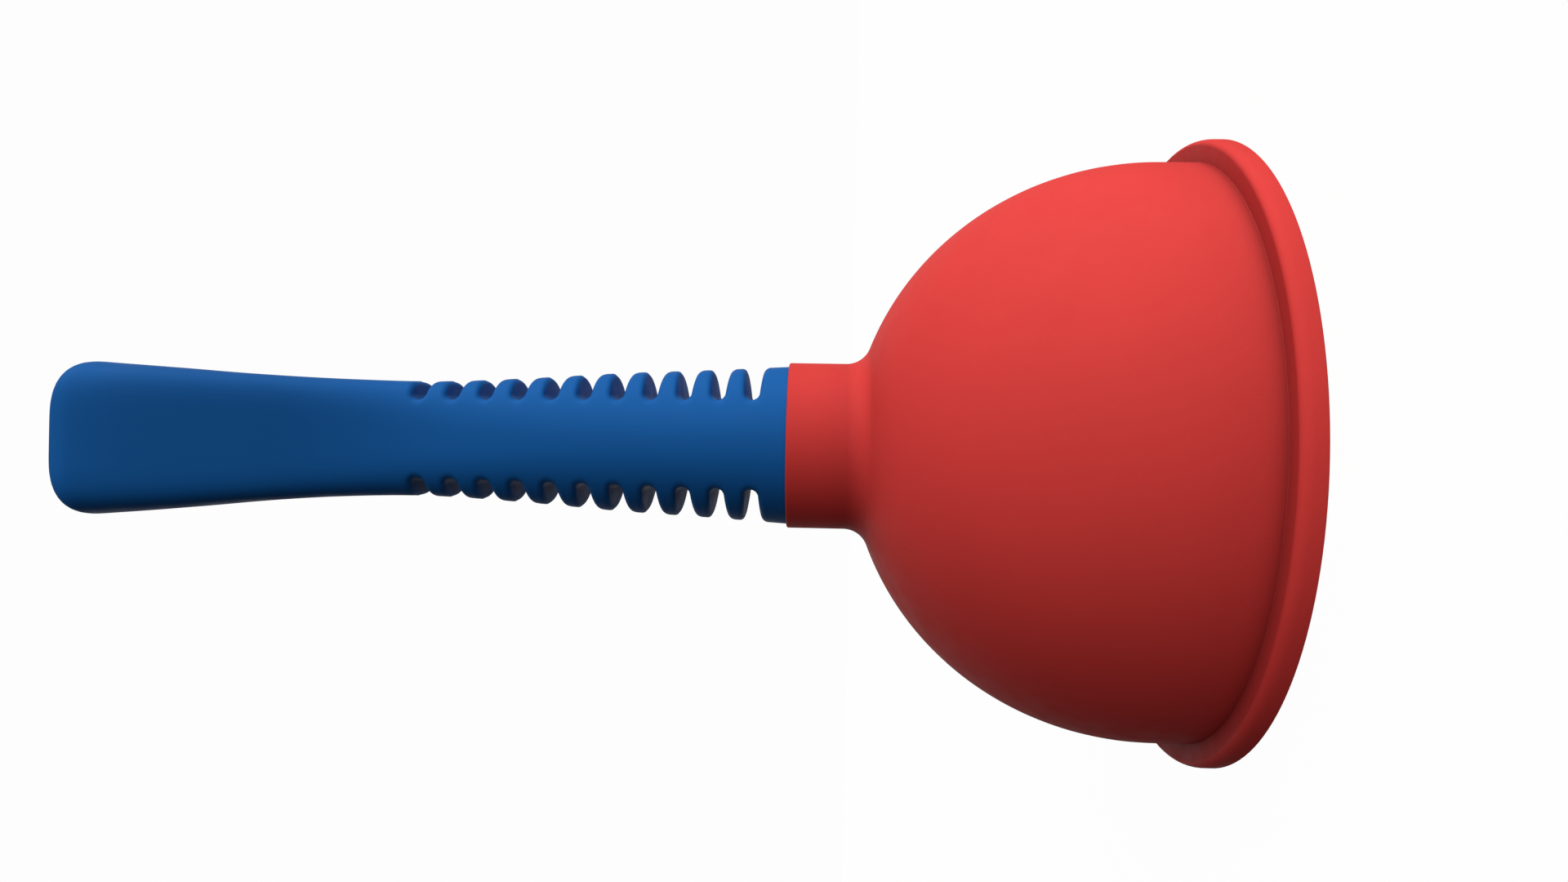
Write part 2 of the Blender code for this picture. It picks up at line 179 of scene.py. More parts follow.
# The grip's rings of points. The angles, in degrees, run round a notch's floor and over its rounded edge. The
# low rings are those between the collar and the first notch.
NOTCH_FLOOR_ANGLES = (0, 16, 32, 48, 64, 76)
NOTCH_EDGE_ANGLES = (12, 24, 36, 48, 60, 74, 90)
WALL_RING_SPACING = 0.35 * MM
FEWEST_WALL_STEPS = 3
PLAIN_RING_SPACING = 1.2 * MM
LOW_RING_SPACING = 0.7 * MM
LOW_RINGS_START = 0.4 * MM
LOW_RINGS_MARGIN = 0.3 * MM
RIDGE_MARGIN = 0.05 * MM
CROWN_STEP_DEGREES = 6

# Camera: a full-frame sensor, level with the collar, with the plunger lying on its side across the frame.
CAMERA_PLACE = Vector((0.9, -228.7, 76.4)) * MM
CAMERA_RIGHT = Vector((0.018792, 0.038209, -0.999093))
CAMERA_UP = Vector((0.999823, -0.000718, 0.018778))
CAMERA_LENS_MM = 24.64
CAMERA_SENSOR_MM = 36.0
CAMERA_NEAR = 0.01
CAMERA_FAR = 100.0

# Colours: what each material is, what wear and dust turn it to, and the darker tones of its painted shade.
RED = (0.830, 0.058, 0.052)
RED_WORN = (0.790, 0.056, 0.050)
RED_DUSTY = (0.860, 0.100, 0.090)
# Painted shade: the rubber's colour deep in its creases, then at its collar.
RED_CREASE_SHADE = (0.330, 0.033, 0.031)
RED_SHADED = (0.690, 0.049, 0.044)
BLUE = (0.0098, 0.122, 0.410)
BLUE_WORN = (0.0094, 0.115, 0.390)
# Painted shade: the plastic's colour deep in its notches, then at its palm end.
BLUE_NOTCH_SHADE = (0.010, 0.050, 0.140)
BLUE_SHADED = (0.0078, 0.098, 0.330)
STEEL = (0.60, 0.60, 0.60)
ZINC = (0.55, 0.56, 0.57)
BRASS = (0.72, 0.50, 0.20)
BLACK = (0.030, 0.030, 0.030)
BLACK_DUSTY = (0.045, 0.044, 0.042)
WHITE = (1, 1, 1, 1)

# Material detail that is shared: a noise's useful range, how open a crease is for painted shade, and how
# metals wear.
NOISE_LOW = 0.3
NOISE_HIGH = 0.7
CREASE_OPEN = 1.0
CREASE_TIGHT = 0.45
CREASE_SAMPLES = 8
METAL_DULLING = 0.86
METAL_POLISH = 0.06
METAL_SCUFF = 0.10

# Studio: a broad soft key light, a weaker one from behind, and a white floor and backdrop. A light's
# strength is its slope times the cosine to its direction, plus its offset. The light from behind isn't in
# the photograph. It keeps the other sides from being black.
KEY_DIRECTION = Vector((0.862, -0.425, 0.285))
KEY_SLOPE = 4.7
KEY_OFFSET = -1.86
BACK_DIRECTION = Vector((-0.1, 0.97, 0.22))
BACK_SLOPE = 2.4
BACK_OFFSET = -1.44
AMBIENT = 0.07
BACKDROP = 0.982
FLOOR_HALF = 3.0
FLOOR_Z = -0.2 * MM
FLOOR_SHADE = 0.03
FLOOR_LIGHT = 0.975


# ---------------------------------------------------------------- shapes


def arc(centre, radii, start, end, steps):
    """Points (r, z) along an elliptical arc, its ends included. Angles are in degrees from +r towards +z."""
    points = []
    for step in range(steps + 1):
        angle = math.radians(start + (end - start) * step / steps)
        points.append((centre[0] + radii[0] * math.cos(angle), centre[1] + radii[1] * math.sin(angle)))
    return points


def mesh_piece(name, points, faces, material):
    """A smooth-shaded mesh object from its points and faces."""
    mesh = bpy.data.meshes.new(name)
    mesh.from_pydata(points, [], faces)
    mesh.validate()
    mesh.shade_smooth()
    mesh.materials.append(material)
    obj = bpy.data.objects.new(name, mesh)
    bpy.context.scene.collection.objects.link(obj)
    return obj


def grid_faces(rows, columns, closed_rows):
    """Quads between rows of points. The columns go round, and closed_rows joins the last row to the first."""
    faces = []
    for row in range(rows if closed_rows else rows - 1):
        here = row * columns
        there = ((row + 1) % rows) * columns
        for column in range(columns):
            after = (column + 1) % columns
            faces.append((here + column, here + after, there + after, there + column))
    return faces


def turned(name, outline, material, steps=TURN_STEPS):
    """An outline of (r, z) points, clockwise in r and z, turned about the Z axis.

    It starts and ends on the axis, or else it is closed, and makes a ring.
    """
    points = []
    for r, z in outline:
        for step in range(steps):
            angle = TAU * step / steps
            points.append((r * math.cos(angle), r * math.sin(angle), z))
    on_axis = outline[0][0] == 0
    faces = grid_faces(len(outline), steps, closed_rows=not on_axis)
    obj = mesh_piece(name, points, [face[::-1] for face in faces], material)
    if on_axis:
        weld(obj.data)
    return obj


def weld(mesh):
    """Joins points that lie on each other, such as those on the axis of a turned shape."""
    shape = bmesh.new()
    shape.from_mesh(mesh)
    bmesh.ops.remove_doubles(shape, verts=shape.verts, dist=WELD_DISTANCE)
    shape.to_mesh(mesh)
    shape.free()


def sharpen(obj, degrees=SHARP_DEGREES):
    """Keeps the edges that turn by more than this sharp, under smooth shading."""
    obj.data.set_sharp_from_angle(angle=math.radians(degrees))


# ---------------------------------------------------------------- cup


def cylinder_fillet(semi_r, semi_z, cylinder_radius, fillet, side):
    """Where a fillet rolls between the dome's ellipse and a cylinder on the axis.

    side is +1 for a fillet outside the ellipse and -1 for one inside it. Returns the fillet's centre and
    the ellipse's angle, in degrees, where the fillet leaves it.
    """
    low, high = 0.0, math.pi / 2
    for _ in range(FILLET_FINDING_STEPS):
        middle = (low + high) / 2
        normal_r = math.cos(middle) / semi_r
        normal_z = math.sin(middle) / semi_z
        length = math.hypot(normal_r, normal_z)
        centre_r = semi_r * math.cos(middle) + side * fillet * normal_r / length
        centre_z = DOME_BASE_Z + semi_z * math.sin(middle) + side * fillet * normal_z / length
        if centre_r > cylinder_radius + fillet:
            low = middle
        else:
            high = middle
    return (centre_r, centre_z), math.degrees(middle)


def fillet_angle(centre, point):
    """The direction from a fillet's centre to a point on it, in degrees."""
    return math.degrees(math.atan2(point[1] - centre[1], point[0] - centre[0])) % 360


def rim_side():
    """Down the rim's softened upper edge and its side, round to its base."""
    fall = RIM_THICKNESS - RIM_TOP_FALL
    top = arc((RIM_RADIUS - RIM_TOP_ROUND, fall), (RIM_TOP_ROUND, RIM_TOP_FALL), 90, 0, RIM_TOP_STEPS)
    edge = RIM_BASE_ROUND
    return top + arc((RIM_RADIUS - edge, edge), (edge, edge), 0, -90, SMALL_ROUND_STEPS)


def cup_outside():
    """From the collar's mouth down to the rim's base."""
    edge = COLLAR_EDGE_ROUND
    points = arc((COLLAR_RADIUS - edge, COLLAR_TOP_Z - edge), (edge, edge), 90, 0, EDGE_STEPS)
    centre, leave = cylinder_fillet(DOME_RADIUS, DOME_HEIGHT, COLLAR_RADIUS, COLLAR_FILLET, 1)
    dome = arc((0, DOME_BASE_Z), (DOME_RADIUS, DOME_HEIGHT), leave, 0, DOME_STEPS)
    landing = fillet_angle(centre, dome[0])
    points += arc(centre, (COLLAR_FILLET, COLLAR_FILLET), 180, landing, FILLET_STEPS)[:-1]
    points += dome
    crease = RIM_CREASE_ROUND
    foot = (DOME_RADIUS + crease, RIM_THICKNESS + crease)
    points += arc(foot, (crease, crease), 180, 270, SMALL_ROUND_STEPS)
    return points + rim_side()


def cup_inside():
    """From the rim's base up the inner wall, down the hub, through the web, and up the socket."""
    inner_radius = DOME_RADIUS - WALL
    inner_height = DOME_HEIGHT - WALL
    lip = LIP_INNER_ROUND
    points = arc((inner_radius + lip, lip), (lip, lip), -90, -180, SMALL_ROUND_STEPS)
    centre, leave = cylinder_fillet(inner_radius, inner_height, HUB_RADIUS, HUB_FILLET, -1)
    dome = arc((0, DOME_BASE_Z), (inner_radius, inner_height), 0, leave, INNER_DOME_STEPS)
    points += dome[:-1]
    landing = fillet_angle(centre, dome[-1])
    points += arc(centre, (HUB_FILLET, HUB_FILLET), landing, 180, HUB_FILLET_STEPS)
    edge = HUB_EDGE_ROUND
    points += arc((HUB_RADIUS - edge, HUB_BASE_Z + edge), (edge, edge), 0, -90, ROUND_STEPS)
    web_top_z = HUB_BASE_Z + WEB
    points += [(HOLE_RADIUS, HUB_BASE_Z), (HOLE_RADIUS, web_top_z)]
    points += [(SOCKET_RADIUS, web_top_z), (SOCKET_RADIUS, COLLAR_TOP_Z)]
    return points


def make_cup():
    """The whole cup as one turned piece, from the collar's mouth to the rim and back up the inside."""
    cup = turned("rubber_cup_skin", cup_outside() + cup_inside(), red_rubber())
    sharpen(cup)
    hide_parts("rubber_cup")
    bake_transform(cup)


# ---------------------------------------------------------------- handle


def ease(stations, z):
    """A smooth curve through (z, value, ...) stations: a cubic in each gap, with a slope shared at each."""

    def slope(index, item):
        """From the station before this one to the station after it."""
        before = stations[max(index - 1, 0)]
        after = stations[min(index + 1, len(stations) - 1)]
        return (after[item] - before[item]) / (after[0] - before[0])

    index = 0
    while index < len(stations) - 2 and z > stations[index + 1][0]:
        index += 1
    start, end = stations[index], stations[index + 1]
    span = end[0] - start[0]
    t = (z - start[0]) / span
    values = []
    for item in range(1, len(start)):
        values.append(
            (2 * t**3 - 3 * t**2 + 1) * start[item]
            + (t**3 - 2 * t**2 + t) * span * slope(index, item)
            + (3 * t**2 - 2 * t**3) * end[item]
            + (t**3 - t**2) * span * slope(index + 1, item)
        )
    return values


def section_at(z):
    """(half-width, half-depth, squareness) of the grip, its crown included."""
    if z <= SHOULDER_Z:
        return ease(GRIP_SECTIONS, z)
    width, depth, squareness = GRIP_SECTIONS[-1][1:]
    rise = min(1.0, (z - SHOULDER_Z) / CROWN_RISE)
    inward = 1 - math.sqrt(1 - rise**2)
    return width - CROWN_INSET_X * inward, depth - CROWN_INSET_Y * inward, squareness


def sweep_at(z):
    """How far the grip's centre line leans to -X."""
    along = max(0.0, z - SWEEP_START_Z) / (GRIP_TOP_Z - SWEEP_START_Z)
    return -SWEEP * (3 * along**2 - 2 * along**3)


def notches():
    """(z, x of the floor) of each notch, from the waist to the collar."""
    found = []
    for index in range(NOTCHES):
        floor_x = WEB_HALF_AT_WAIST + WEB_HALF_GROWTH * index / (NOTCHES - 1)
        found.append((LAST_NOTCH_Z - index * NOTCH_PITCH, floor_x))
    return found


def outside_notches(x, z):
    """Distance from points to the nearest notch's surface: above 0 in the solid, below 0 in a notch.

    A notch is a slot with a round floor and flared sides, open at the grip's edge.
    """
    nearest = np.full(np.broadcast(x, z).shape, np.inf)
    sine, cosine = math.sin(NOTCH_FLARE), math.cos(NOTCH_FLARE)
    for notch_z, floor_x in notches():
        out = np.abs(x) - (floor_x + NOTCH_FLOOR_ROUND)
        side = np.abs(z - notch_z)
        to_wall = side * cosine - out * sine
        to_floor = np.hypot(out, side)
        beside_wall = out * cosine + side * sine > 0
        nearest = np.minimum(nearest, np.where(beside_wall, to_wall, to_floor) - NOTCH_FLOOR_ROUND)
    return nearest


def rounded_overlap(first, second, radius):
    """Distance to the overlap of two solids, with its edges rounded to a radius."""
    inner = np.minimum(np.maximum(first, second), -radius)
    return inner + np.hypot(np.maximum(first + radius, 0), np.maximum(second + radius, 0))


def notch_levels():
    """Heights at which the notched part of the grip is sliced: close together up the notches' steep walls."""
    half_pitch = NOTCH_PITCH / 2
    wall_start = NOTCH_FLOOR_ROUND * math.cos(NOTCH_FLARE)
    levels = []
    for notch_z, floor_x in notches():
        edge_x = section_at(notch_z)[0]
        depth = edge_x - floor_x - NOTCH_FLOOR_ROUND
        wall_end = wall_start + depth * math.tan(NOTCH_FLARE)
        offsets = [NOTCH_FLOOR_ROUND * math.sin(math.radians(angle)) for angle in NOTCH_FLOOR_ANGLES]
        wall_steps = max(FEWEST_WALL_STEPS, round(depth / WALL_RING_SPACING))
        offsets += np.linspace(wall_start, wall_end, wall_steps + 1).tolist()
        for angle in NOTCH_EDGE_ANGLES:
            offsets.append(wall_end + NOTCH_EDGE_ROUND * (1 - math.cos(math.radians(angle))))
        offsets = [offset for offset in offsets if offset < half_pitch - RIDGE_MARGIN]
        levels += [notch_z + offset for offset in offsets]
        levels += [notch_z - offset for offset in offsets[1:]]
        levels.append(notch_z + half_pitch)
    return sorted(levels)


def grip_levels():
    """Heights of all the grip's slices, from its base to its flat top."""
    notched = notch_levels()
    below = np.arange(GRIP_BASE_Z + LOW_RINGS_START, notched[0] - LOW_RINGS_MARGIN, LOW_RING_SPACING)
    above = np.arange(notched[-1] + PLAIN_RING_SPACING / 2, SHOULDER_Z, PLAIN_RING_SPACING)
    turns = range(0, 90 + CROWN_STEP_DEGREES, CROWN_STEP_DEGREES)
    crown = [SHOULDER_Z + CROWN_RISE * math.sin(math.radians(angle)) for angle in turns]
    return [GRIP_BASE_Z] + list(below) + notched + list(above) + crown


def column_angles():
    """Angles of the grip's columns of points: evenly round it, with one more each side of a parting line."""
    even = [TAU * step / GRIP_STEPS for step in range(GRIP_STEPS)]
    beside = [PARTING_HALF_ANGLE, math.pi - PARTING_HALF_ANGLE, math.pi + PARTING_HALF_ANGLE]
    beside.append(TAU - PARTING_HALF_ANGLE)
    return np.array(sorted(even + beside))


def grip_rings():
    """Rings of points round the grip, one to a level, with the notches cut and their edges rounded.

    A point is found by halving along its own ray from the centre line, scaled to the section's size.
    """
    angles = column_angles()
    cosines, sines = np.cos(angles), np.sin(angles)
    parting = PARTING_HEIGHT * np.sign(cosines) * np.isclose(np.abs(cosines), 1)
    rings = []
    for z in grip_levels():
        half_width, half_depth, squareness = section_at(z)
        ray_x, ray_y = half_width * cosines, half_depth * sines
        ray = np.hypot(ray_x, ray_y)
        full = (np.abs(cosines) ** squareness + np.abs(sines) ** squareness) ** (-1 / squareness)
        low, high = np.zeros(len(angles)), full.copy()
        for _ in range(SURFACE_FINDING_STEPS):
            middle = (low + high) / 2
            to_notch = -outside_notches(middle * ray_x, z)
            inside = rounded_overlap((middle - full) * ray, to_notch, NOTCH_EDGE_ROUND) < 0
            low = np.where(inside, middle, low)
            high = np.where(inside, high, middle)
        across = sweep_at(z) + high * ray_x + parting
        rings.append([(x, y, z) for x, y in zip(across, high * ray_y)])
    return rings


def round_ring(radius, z):
    """A circle with as many points as the grip's rings, to join onto them."""
    return [(radius * math.cos(angle), radius * math.sin(angle), z) for angle in column_angles()]


def handle_rings():
    """From the core's top, down the bore, out round the spigot, and up the grip to its crown."""
    bore = [(CORE_RADIUS, CORE_TOP_Z), (CORE_RADIUS, SEAT_TOP_Z), (SEAT_RADIUS, SEAT_TOP_Z)]
    bore.append((SEAT_RADIUS, SPIGOT_BASE_Z))
    spigot = [(SPIGOT_RADIUS, SPIGOT_BASE_Z), (SPIGOT_RADIUS, GRIP_BASE_Z)]
    return [round_ring(radius, z) for radius, z in bore + spigot] + grip_rings()


def make_handle():
    """The handle as one loft through all its rings, closed at the core's top and at the crown."""
    rings = handle_rings()
    points = [point for ring in rings for point in ring]
    columns = len(rings[0])
    faces = grid_faces(len(rings), columns, closed_rows=False)
    faces.append(tuple(reversed(range(columns))))
    faces.append(tuple(range(len(points) - columns, len(points))))
    handle = mesh_piece("handle_skin", points, faces, blue_plastic())
    sharpen(handle)
    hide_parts("handle")
    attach(handle, "handle")


# ---------------------------------------------------------------- fixing


def make_washer(node, edge, material):
    """A washer with rounded edges, in its CAD node's place."""
    low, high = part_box(node)
    outline = [(HOLE_RADIUS, low.z), (HOLE_RADIUS, high.z)]
    outline += arc((high.x - edge, high.z - edge), (edge, edge), 90, 0, ROUND_STEPS)
    outline += arc((high.x - edge, low.z + edge), (edge, edge), 0, -90, ROUND_STEPS)
    washer = turned(node + "_fine", outline, material)
    sharpen(washer)
    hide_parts(node)
    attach(washer, "handle")


def screw_outline():
    """From the screw's point, down its thread and out round its pan head. The thread is a row of rings."""
    tip_z = SCREW_HIGH.z
    base_z = SCREW_LOW.z
    root = SHANK_RADIUS - THREAD_DEPTH
    points = [(0, tip_z), (SHANK_RADIUS - THREAD_POINT, tip_z), (root, tip_z - THREAD_POINT / 2)]
    z = tip_z - THREAD_POINT
    while z > HEAD_TOP_Z + 2 * THREAD_PITCH:
        points += [(SHANK_RADIUS, z), (root, z - THREAD_PITCH / 2)]
        z -= THREAD_PITCH
    points += [(SHANK_RADIUS, z), (SHANK_RADIUS, HEAD_TOP_Z)]
    rim = HEAD_RIM_ROUND
    points += arc((HEAD_RADIUS - rim, HEAD_TOP_Z - rim), (rim, rim), 90, 0, EDGE_STEPS)
    edge = HEAD_EDGE_ROUND
    points += arc((HEAD_RADIUS - edge, base_z + edge), (edge, edge), 0, -90, HEAD_EDGE_STEPS)
    return points + [(0, base_z)]


def cross_ring(scale, z):
    """The recess's cross at height z, as 12 corners."""
    tip = scale * RECESS_LENGTH / 2
    side = scale * RECESS_WIDTH / 2
    corners = []
    for turn in range(4):
        sine, cosine = round(math.sin(turn * TAU / 4)), round(math.cos(turn * TAU / 4))
        for x, y in [(tip, -side), (tip, side), (side, side)]:
            corners.append((x * cosine - y * sine, x * sine + y * cosine, z))
    return corners


def recess_cutter():
    """A cross that narrows as it goes up into the head."""
    mouth_z = SCREW_LOW.z - RECESS_DEPTH
    end_z = SCREW_LOW.z + RECESS_DEPTH
    mouth = cross_ring(2 - RECESS_TAPER, mouth_z)
    end = cross_ring(RECESS_TAPER, end_z)
    faces = grid_faces(2, len(mouth), closed_rows=False)
    faces.append(tuple(reversed(range(len(mouth)))))
    faces.append(tuple(range(len(mouth), 2 * len(mouth))))
    return mesh_piece("recess_cutter", mouth + end, faces, screw_steel())


def make_screw():
    """The fixing screw, with its recess cut and its thread formed."""
    screw = turned("fixing_screw_fine", screw_outline(), screw_steel(), FIXING_STEPS)
    cutter = recess_cutter()
    cut = screw.modifiers.new("cut", "BOOLEAN")
    cut.operation = "DIFFERENCE"
    cut.object = cutter
    graph = bpy.context.evaluated_depsgraph_get()
    mesh = bpy.data.meshes.new_from_object(screw.evaluated_get(graph))
    screw.modifiers.clear()
    screw.data = mesh
    bpy.data.objects.remove(cutter)
    sharpen(screw, SCREW_SHARP_DEGREES)
    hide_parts("fixing_screw")
    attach(screw, "handle")


def finish_insert():
    """The insert keeps its CAD shape, and gets its brass."""
    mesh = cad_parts["threaded_insert"].data
    mesh.materials.clear()
    mesh.materials.append(insert_brass())


# ---------------------------------------------------------------- materials


def grey(share):
    """A grey, or a mask's value, as a colour."""
    return (share, share, share, 1)


def new_material(name, colour, roughness, metallic=0.0, specular=0.5):
    """A material with its values on the shader's own sockets. Returns it, its node tree and the shader."""
    material = bpy.data.materials.new(name)
    material.use_nodes = True
    shader = material.node_tree.nodes["Principled BSDF"]
    shader.inputs["Base Color"].default_value = (*colour, 1)
    shader.inputs["Roughness"].default_value = roughness
    shader.inputs["Metallic"].default_value = metallic
    shader.inputs["Specular IOR Level"].default_value = specular
    return material, material.node_tree, shader


def noise(tree, scale, detail=2.0, stretch=(1, 1, 1)):
    """A noise texture in the object's own metres: scale is in features a metre."""
    place = tree.nodes.new("ShaderNodeTexCoord")
    mapping = tree.nodes.new("ShaderNodeMapping")
    mapping.inputs["Scale"].default_value = stretch
    texture = tree.nodes.new("ShaderNodeTexNoise")
    texture.inputs["Scale"].default_value = scale
    texture.inputs["Detail"].default_value = detail
    tree.links.new(place.outputs["Object"], mapping.inputs["Vector"])
    tree.links.new(mapping.outputs["Vector"], texture.inputs["Vector"])
    return texture.outputs["Fac"]


def spread(tree, value, low, high):
    """Maps a noise's middle range onto low to high."""
    ranged = tree.nodes.new("ShaderNodeMapRange")
    ranged.inputs["From Min"].default_value = NOISE_LOW
    ranged.inputs["From Max"].default_value = NOISE_HIGH
    ranged.inputs["To Min"].default_value = low
    ranged.inputs["To Max"].default_value = high
    tree.links.new(value, ranged.inputs["Value"])
    return ranged.outputs["Result"]


def mix_node(tree, factor, over):
    """A mix node that brings in the plain colour over by factor. What it covers is still to be set."""
    mix = tree.nodes.new("ShaderNodeMix")
    mix.data_type = "RGBA"
    mix.inputs["B"].default_value = (*over, 1)
    tree.links.new(factor, mix.inputs["Factor"])
    return mix


def blended_colour(tree, factor, first, second):
    """From one plain colour to another by factor."""
    mix = mix_node(tree, factor, second)
    mix.inputs["A"].default_value = (*first, 1)
    return mix.outputs["Result"]


def mix_in(tree, factor, under, over):
    """The colour from socket under, with the plain colour over mixed in by factor."""
    mix = mix_node(tree, factor, over)
    tree.links.new(under, mix.inputs["A"])
    return mix.outputs["Result"]


def bump(tree, shader, layers):
    """Stacks bumps on the shader: each layer is (height, distance in metres, strength)."""
    normal = None
    for height, distance, strength in layers:
        node = tree.nodes.new("ShaderNodeBump")
        node.inputs["Distance"].default_value = distance
        node.inputs["Strength"].default_value = strength
        tree.links.new(height, node.inputs["Height"])
        if normal:
            tree.links.new(normal, node.inputs["Normal"])
        normal = node.outputs["Normal"]
    tree.links.new(normal, shader.inputs["Normal"])


def painted_crease_shade(tree, reach, low, high):
    """A mask for painted shade in creases, from ambient occlusion: low out in the open, high in a tight
    corner.
    """
    crease = tree.nodes.new("ShaderNodeAmbientOcclusion")
    crease.only_local = True
    crease.samples = CREASE_SAMPLES
    crease.inputs["Distance"].default_value = reach
    ranged = tree.nodes.new("ShaderNodeMapRange")
    ranged.inputs["From Min"].default_value = CREASE_OPEN
    ranged.inputs["From Max"].default_value = CREASE_TIGHT
    ranged.inputs["To Min"].default_value = low
    ranged.inputs["To Max"].default_value = high
    tree.links.new(crease.outputs["AO"], ranged.inputs["Value"])
    return ranged.outputs["Result"]


def up_the_object(tree, stops):
    """A mask that follows (z, share) stops, in rising order, and stays level past both ends."""
    low, high = stops[0][0], stops[-1][0]
    place = tree.nodes.new("ShaderNodeTexCoord")
    split = tree.nodes.new("ShaderNodeSeparateXYZ")
    height = tree.nodes.new("ShaderNodeMapRange")
    height.inputs["From Min"].default_value = low
    height.inputs["From Max"].default_value = high
    ramp = tree.nodes.new("ShaderNodeValToRGB")
    ramp.color_ramp.interpolation = "EASE"
    marks = ramp.color_ramp.elements
    marks[0].color = grey(stops[0][1])
    marks[1].color = grey(stops[-1][1])
    for z, share in stops[1:-1]:
        marks.new((z - low) / (high - low)).color = grey(share)
    tree.links.new(place.outputs["Object"], split.inputs[0])
    tree.links.new(split.outputs["Z"], height.inputs["Value"])
    tree.links.new(height.outputs["Result"], ramp.inputs["Fac"])
    return ramp.outputs["Color"]


def radius_bands(tree, scale):
    """Fine rings round the Z axis, as a lathe or a wire brush leaves on a turned piece."""
    place = tree.nodes.new("ShaderNodeTexCoord")
    flatten = tree.nodes.new("ShaderNodeVectorMath")
    flatten.operation = "MULTIPLY"
    flatten.inputs[1].default_value = (1, 1, 0)
    radius = tree.nodes.new("ShaderNodeVectorMath")
    radius.operation = "LENGTH"
    texture = tree.nodes.new("ShaderNodeTexNoise")
    texture.noise_dimensions = "1D"
    texture.inputs["Scale"].default_value = scale
    texture.inputs["Detail"].default_value = 3.0
    tree.links.new(place.outputs["Object"], flatten.inputs[0])
    tree.links.new(flatten.outputs["Vector"], radius.inputs[0])
    tree.links.new(radius.outputs["Value"], texture.inputs["W"])
    return texture.outputs["Fac"]


def red_rubber():
    """Satin rubber with worn patches and dust, and painted shade darkening its collar and its creases."""
    material, tree, shader = new_material("red_rubber", RED, roughness=0.6, specular=0.07)
    patches = spread(tree, noise(tree, scale=45, detail=3), low=0.0, high=1.0)
    dust = spread(tree, noise(tree, scale=1500, detail=2), low=-0.25, high=0.10)
    colour = blended_colour(tree, patches, RED, RED_WORN)
    colour = mix_in(tree, dust, colour, RED_DUSTY)
    # Painted shade: the collar darkened, most towards its mouth.
    colour = mix_in(tree, up_the_object(tree, COLLAR_PAINTED_SHADE), colour, RED_SHADED)
    # Painted shade: ambient occlusion darkens the rubber in its creases, by the rim and round the collar.
    colour = mix_in(tree, painted_crease_shade(tree, reach=18 * MM, low=0.0, high=1.0), colour, RED_CREASE_SHADE)
    tree.links.new(colour, shader.inputs["Base Color"])
    roughness = spread(tree, noise(tree, scale=220, detail=3), low=0.52, high=0.66)
    tree.links.new(roughness, shader.inputs["Roughness"])
    waves = (noise(tree, scale=60, detail=1), 0.1 * MM, 0.15)
    grain = (noise(tree, scale=2200, detail=2), 0.02 * MM, 0.4)
    bump(tree, shader, [waves, grain])
    return material


def blue_plastic():
    """Moulded plastic with long worn patches, and painted shade darkening its palm end and its notches."""
    material, tree, shader = new_material("blue_plastic", BLUE, roughness=0.5, specular=0.04)
    patches = spread(tree, noise(tree, scale=60, detail=3, stretch=(1, 1, 0.3)), low=0.0, high=1.0)
    colour = blended_colour(tree, patches, BLUE, BLUE_WORN)
    # Painted shade: the grip's palm end darkened, fading out at the crown.
    colour = mix_in(tree, up_the_object(tree, GRIP_PAINTED_SHADE), colour, BLUE_SHADED)
    # Painted shade: ambient occlusion darkens the plastic in its notches.
    colour = mix_in(tree, painted_crease_shade(tree, reach=3 * MM, low=0.0, high=0.5), colour, BLUE_NOTCH_SHADE)
    tree.links.new(colour, shader.inputs["Base Color"])
    roughness = spread(tree, noise(tree, scale=180, detail=3), low=0.44, high=0.56)
    tree.links.new(roughness, shader.inputs["Roughness"])
    grain = (noise(tree, scale=3000, detail=2), 0.02 * MM, 0.4)
    bump(tree, shader, [grain])
    return material


def turned_metal(name, colour, roughness, band_scale):
    """A metal with fine turning marks, and handling marks in its roughness."""
    material, tree, shader = new_material(name, colour, roughness, metallic=1.0)
    marks = spread(tree, noise(tree, scale=400, detail=3), low=0.0, high=1.0)
    duller = tuple(METAL_DULLING * channel for channel in colour)
    tree.links.new(blended_colour(tree, marks, colour, duller), shader.inputs["Base Color"])
    handling = noise(tree, scale=900, detail=3)
    wear = spread(tree, handling, low=roughness - METAL_POLISH, high=roughness + METAL_SCUFF)
    tree.links.new(wear, shader.inputs["Roughness"])
    turning = (radius_bands(tree, band_scale), 0.01 * MM, 0.5)
    bump(tree, shader, [turning])
    return material


def screw_steel():
    return turned_metal("screw_steel", STEEL, roughness=0.28, band_scale=5000)


def washer_steel():
    return turned_metal("washer_steel", ZINC, roughness=0.36, band_scale=2500)


def insert_brass():
    return turned_metal("insert_brass", BRASS, roughness=0.30, band_scale=4000)


def black_rubber():
    """Matt rubber with dusty patches."""
    material, tree, shader = new_material("black_rubber", BLACK, roughness=0.7, specular=0.3)
    patches = spread(tree, noise(tree, scale=300, detail=3), low=0.0, high=1.0)
    tree.links.new(blended_colour(tree, patches, BLACK, BLACK_DUSTY), shader.inputs["Base Color"])
    roughness = spread(tree, noise(tree, scale=900, detail=2), low=0.62, high=0.78)
    tree.links.new(roughness, shader.inputs["Roughness"])
    grain = (noise(tree, scale=4000, detail=2), 0.02 * MM, 0.5)
    bump(tree, shader, [grain])
    return material


# ---------------------------------------------------------------- studio


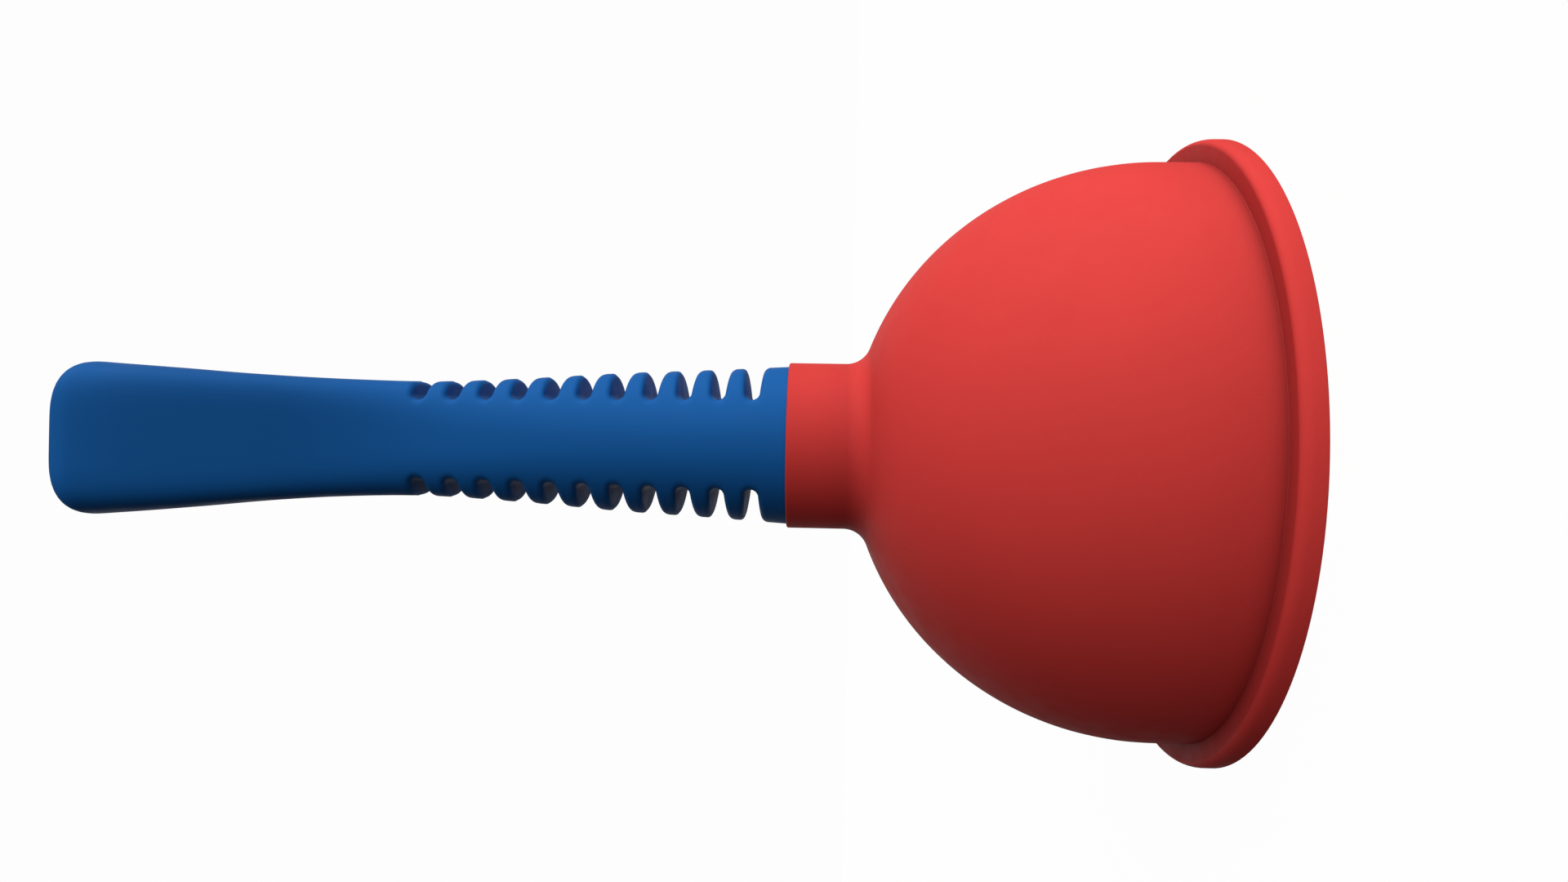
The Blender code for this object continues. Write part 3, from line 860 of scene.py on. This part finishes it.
def make_floor():
    """A white floor, just clear of the rim, with a faint shadow. It sends no light back to the object."""
    shape = bmesh.new()
    bmesh.ops.create_grid(shape, x_segments=1, y_segments=1, size=FLOOR_HALF)
    mesh = bpy.data.meshes.new("floor")
    shape.to_mesh(mesh)
    shape.free()
    material = bpy.data.materials.new("floor_white")
    material.use_nodes = True
    shader = material.node_tree.nodes["Principled BSDF"]
    shader.inputs["Base Color"].default_value = grey(FLOOR_SHADE)
    shader.inputs["Specular IOR Level"].default_value = 0.0
    shader.inputs["Emission Color"].default_value = WHITE
    shader.inputs["Emission Strength"].default_value = FLOOR_LIGHT
    mesh.materials.append(material)
    floor = bpy.data.objects.new("floor", mesh)
    floor.location.z = FLOOR_Z
    floor.visible_diffuse = False
    floor.visible_glossy = False
    floor.visible_shadow = False
    bpy.context.scene.collection.objects.link(floor)


def soft_lamp(tree, direction, slope, offset):
    """A soft light in the world: slope * cosine + offset round a direction, and never below AMBIENT."""
    place = tree.nodes.new("ShaderNodeTexCoord")
    facing = tree.nodes.new("ShaderNodeVectorMath")
    facing.operation = "DOT_PRODUCT"
    facing.inputs[1].default_value = direction.normalized()
    strength = tree.nodes.new("ShaderNodeMath")
    strength.operation = "MULTIPLY_ADD"
    strength.inputs[1].default_value = slope
    strength.inputs[2].default_value = offset
    above_ambient = tree.nodes.new("ShaderNodeMath")
    above_ambient.operation = "MAXIMUM"
    above_ambient.inputs[1].default_value = AMBIENT
    tree.links.new(place.outputs["Generated"], facing.inputs[0])
    tree.links.new(facing.outputs["Value"], strength.inputs[0])
    tree.links.new(strength.outputs[0], above_ambient.inputs[0])
    return above_ambient.outputs[0]


def stronger(tree, first, second):
    """The larger of two sockets' values."""
    pick = tree.nodes.new("ShaderNodeMath")
    pick.operation = "MAXIMUM"
    tree.links.new(first, pick.inputs[0])
    tree.links.new(second, pick.inputs[1])
    return pick.outputs[0]


def make_world():
    """Light from the two studio directions over a low ambient level, with a white backdrop for the camera."""
    world = bpy.data.worlds.new("studio")
    bpy.context.scene.world = world
    world.use_nodes = True
    tree = world.node_tree
    tree.nodes.clear()
    key = soft_lamp(tree, KEY_DIRECTION, KEY_SLOPE, KEY_OFFSET)
    back = soft_lamp(tree, BACK_DIRECTION, BACK_SLOPE, BACK_OFFSET)
    lights = tree.nodes.new("ShaderNodeBackground")
    backdrop = tree.nodes.new("ShaderNodeBackground")
    backdrop.inputs["Color"].default_value = grey(BACKDROP)
    rays = tree.nodes.new("ShaderNodeLightPath")
    mix = tree.nodes.new("ShaderNodeMixShader")
    output = tree.nodes.new("ShaderNodeOutputWorld")
    tree.links.new(stronger(tree, key, back), lights.inputs["Strength"])
    tree.links.new(rays.outputs["Is Camera Ray"], mix.inputs["Fac"])
    tree.links.new(lights.outputs[0], mix.inputs[1])
    tree.links.new(backdrop.outputs[0], mix.inputs[2])
    tree.links.new(mix.outputs[0], output.inputs["Surface"])


def make_camera():
    """The photograph's viewpoint."""
    data = bpy.data.cameras.new("camera")
    data.lens = CAMERA_LENS_MM
    data.sensor_width = CAMERA_SENSOR_MM
    data.clip_start = CAMERA_NEAR
    data.clip_end = CAMERA_FAR
    camera = bpy.data.objects.new("camera", data)
    bpy.context.scene.collection.objects.link(camera)
    backward = CAMERA_RIGHT.cross(CAMERA_UP)
    turn = Matrix((CAMERA_RIGHT, CAMERA_UP, backward)).transposed()
    camera.matrix_world = Matrix.Translation(CAMERA_PLACE) @ turn.to_4x4()
    bpy.context.scene.camera = camera


def main():
    """Sets the studio up, and puts every fine piece in its CAD node's place."""
    bpy.context.scene.view_settings.view_transform = "Standard"
    make_camera()
    make_world()
    make_floor()
    make_cup()
    make_handle()
    make_washer("load_washer", LOAD_WASHER_EDGE, washer_steel())
    make_washer("sealing_washer", SEAL_EDGE, black_rubber())
    make_screw()
    finish_insert()


main()
